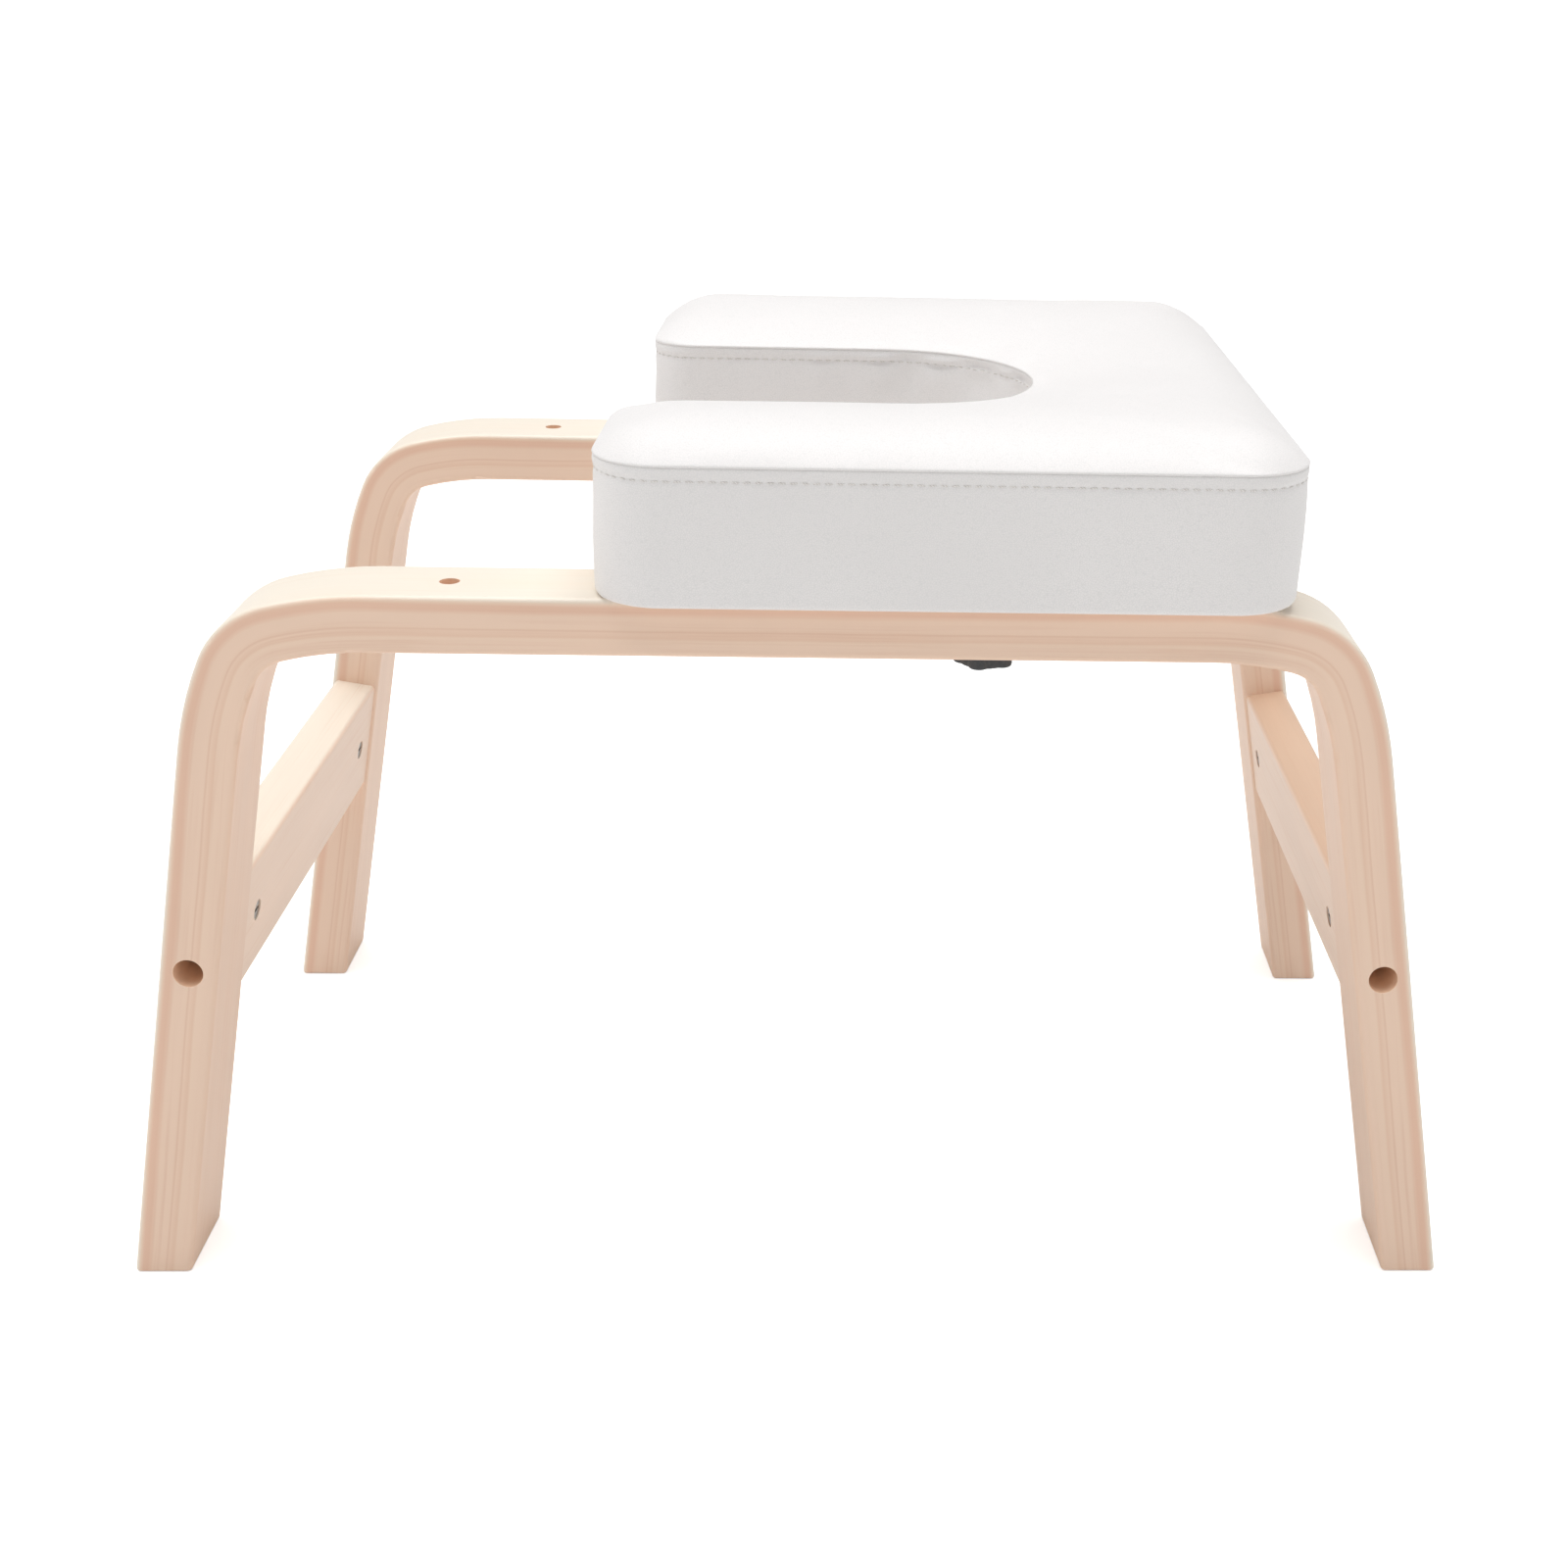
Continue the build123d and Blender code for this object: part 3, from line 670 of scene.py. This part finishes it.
def stitch_row(thread, outline, normals, runs, total):
    """Top-stitching below the seam: short thread lengths that dip into the band at each end."""
    rising = [(-0.5, -0.45), (-0.42, -0.12), (-0.2, 0.14)]
    shape = rising + [(0.0, 0.2)] + [(-along, up) for along, up in reversed(rising)]
    sides, points, faces = 8, [], []
    closed = np.vstack([outline, outline[:1]])
    closed_runs = np.append(runs, total)
    closed_normals = np.vstack([normals, normals[:1]])
    count = round(total / STITCH_PITCH)
    for k in range(count):
        middle = (k + 0.5) * total / count
        first = len(points)
        slant = 0.10 * MM * (1 if k % 2 else -1)
        for along, lift in shape:
            run = middle + along * STITCH_LENGTH
            x = np.interp(run % total, closed_runs, closed[:, 0])
            y = np.interp(run % total, closed_runs, closed[:, 1])
            n = Vector((
                np.interp(run % total, closed_runs, closed_normals[:, 0]),
                np.interp(run % total, closed_runs, closed_normals[:, 1]), 0,
            )).normalized()
            centre = Vector((x, y, SEAM - STITCH_DROP + 2 * along * slant)) + n * (-0.5 * MM + lift * MM)
            thick = THREAD * (0.72 if abs(along) > 0.45 else 1.0)
            for s in range(sides):
                turn = 2 * pi * s / sides
                points.append(centre + n * thick * cos(turn) + Vector((0, 0, thick * sin(turn))))
        for r in range(len(shape) - 1):
            for s in range(sides):
                a, b = first + r * sides + s, first + r * sides + (s + 1) % sides
                faces.append((a, b, b + sides, a + sides))
        faces.append(tuple(first + s for s in reversed(range(sides))))
        faces.append(tuple(first + (len(shape) - 1) * sides + s for s in range(sides)))
    row = mesh_piece("cushion_top_stitching", points, faces, thread)
    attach(row, "cushion")


def foam_core(foam):
    """The cut foam inside the cover, on the board, with its top edge eased."""
    outline, normals, _, _ = walk_outline(6.0 * MM)
    count = len(outline)
    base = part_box("cushion_foam")[0].z
    inset = 2.6 * MM
    levels = np.linspace(base, SEAM - 5 * MM, 7)
    profile = [(-inset, z) for z in levels]
    profile += [(-inset - deeper * MM, SEAM - 3.4 * MM) for deeper in (0.4, 1.6, 3.6, 6.6, 10.6)]
    points, faces = rings_mesh(outline, normals, profile)
    lift_to_crown(points, len(levels) * count)
    faces += close_over(
        points, len(points) - count, count, 9 * MM, 6 * MM, lambda xy: SEAM - 3.4 * MM + crown(xy),
    )
    under = close_over(points, 0, count, 9 * MM, 6 * MM, lambda xy: np.full(len(xy), base))
    faces += [tuple(reversed(f)) for f in under]
    core = mesh_piece("cushion_foam_core", points, faces, foam)
    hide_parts("cushion_foam")
    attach(core, "cushion")


# ---- finishes on the frame's own pieces ----------------------------------------------------------
def dress_frame():
    """Puts each piece's finish on it."""
    joint = (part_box("bolt_front_right")[0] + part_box("bolt_front_right")[1]) / 2
    stud = (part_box("knob_stud_front")[0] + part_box("knob_stud_front")[1]) / 2
    # the bores whose insides get the painted hole shade
    holes = [("Y", Vector((side * joint.x, 0, joint.z)), COUNTERBORE_EDGE) for side in (-1, 1)]
    for x in (stud.x, SPARE_HOLE_X):
        holes += [("Z", Vector((x, y, 0)), RAIL_HOLE_EDGE) for y in (stud.y, -stud.y)]
    stretcher_tones = [
        (0.0, "#F4DAC6"), (0.25, "#F0D1BB"), (0.4, "#F4DCC9"),
        (0.6, "#EFD0B9"), (0.75, "#F4DBC8"), (1.0, "#F2D7C2"),
    ]
    finishes = {
        "arch": lacquered_pine("bent_pine_lamination", along_the_arch, stack_tones, holes),
        # the two planks differ only in their tops: painted light on the left one, painted shade on the
        # right one
        "left_stretcher": lacquered_pine(
            "planed_pine_painted_light_top", along_the_board, stretcher_tones, fleck="#DFB598", painted_top_tone="#EEE2D2",
        ),
        "right_stretcher": lacquered_pine(
            "planed_pine_painted_shade_top", along_the_board, stretcher_tones, fleck="#DFB598", painted_top_tone="#E2C2A8",
        ),
        "zinc": zinc_steel(),
        "dowel": fluted_beech(),
        "board": raw_plywood(),
        "dust_cover": nonwoven_cloth(),
        "knob": moulded_nylon(),
    }
    metal = ("bolt_", "barrel_", "tee_", "knob_stud", "knob_washer")
    for name, node in nodes.items():
        if name.startswith(metal):
            finish = finishes["zinc"]
        else:
            finish = next((f for key, f in finishes.items() if key in name), None)
        if finish:
            node.data.materials.clear()
            node.data.materials.append(finish)


# ---- stage -------------------------------------------------------------------------------------
def studio():
    """White paper floor, an even white room, a wide soft light overhead and a faint one each side."""
    half = 30.0
    floor = mesh_piece(
        "floor", [(-half, -half, 0), (half, -half, 0), (half, half, 0), (-half, half, 0)],
        [(0, 1, 2, 3)], paper_floor(), smooth=False,
    )
    floor.location.z = -0.2 * MM
    world = bpy.data.worlds.new("white_room")
    bpy.context.scene.world = world
    world.use_nodes = True
    tree = world.node_tree
    background = tree.nodes["Background"]
    background.inputs["Color"].default_value = linear("#FFFFFF")
    seen = add(tree, "LightPath").outputs["Is Camera Ray"]
    level = add(tree, "Math", {0: seen, 1: 0.58, 2: 0.42}, operation="MULTIPLY_ADD")
    tree.links.new(level.outputs[0], background.inputs["Strength"])
    for name, spread, strength, aim in (
        ("overhead_bank", 60, 2.3, (0.08, -0.08, -1)),
        ("left_bank", 50, 0.32, (1, 0.05, -0.15)),
        ("right_bank", 50, 0.16, (-1, 0.05, -0.15)),
    ):
        lamp = bpy.data.lights.new(name, "SUN")
        lamp.angle, lamp.energy = radians(spread), strength
        bank = bpy.data.objects.new(name, lamp)
        bpy.context.scene.collection.objects.link(bank)
        bank.rotation_euler = Vector(aim).to_track_quat("-Z", "Y").to_euler()
    bpy.context.scene.view_settings.view_transform = "Standard"


def camera():
    """A normal-lens view from the front, 19 cm above the cushion's top and tilted 19 degrees down."""
    lens = bpy.data.cameras.new("camera")
    lens.sensor_width, lens.lens = 36.0, 48.0
    lens.shift_x, lens.shift_y = -0.1166, -0.0774
    eye = bpy.data.objects.new("camera", lens)
    bpy.context.scene.collection.objects.link(eye)
    eye.matrix_world = (
        Matrix.Translation((0.0353, -0.9903, 0.5861))
        @ Matrix.Rotation(radians(-2.60), 4, "Z")
        @ Matrix.Rotation(radians(90 - 19.19), 4, "X")
        @ Matrix.Rotation(radians(1.532), 4, "Z")
    )
    bpy.context.scene.camera = eye


camera()
studio()
dress_frame()
edge = cushion_covers(coated_vinyl())
stitch_row(sewing_thread(), *edge)
foam_core(cut_foam())
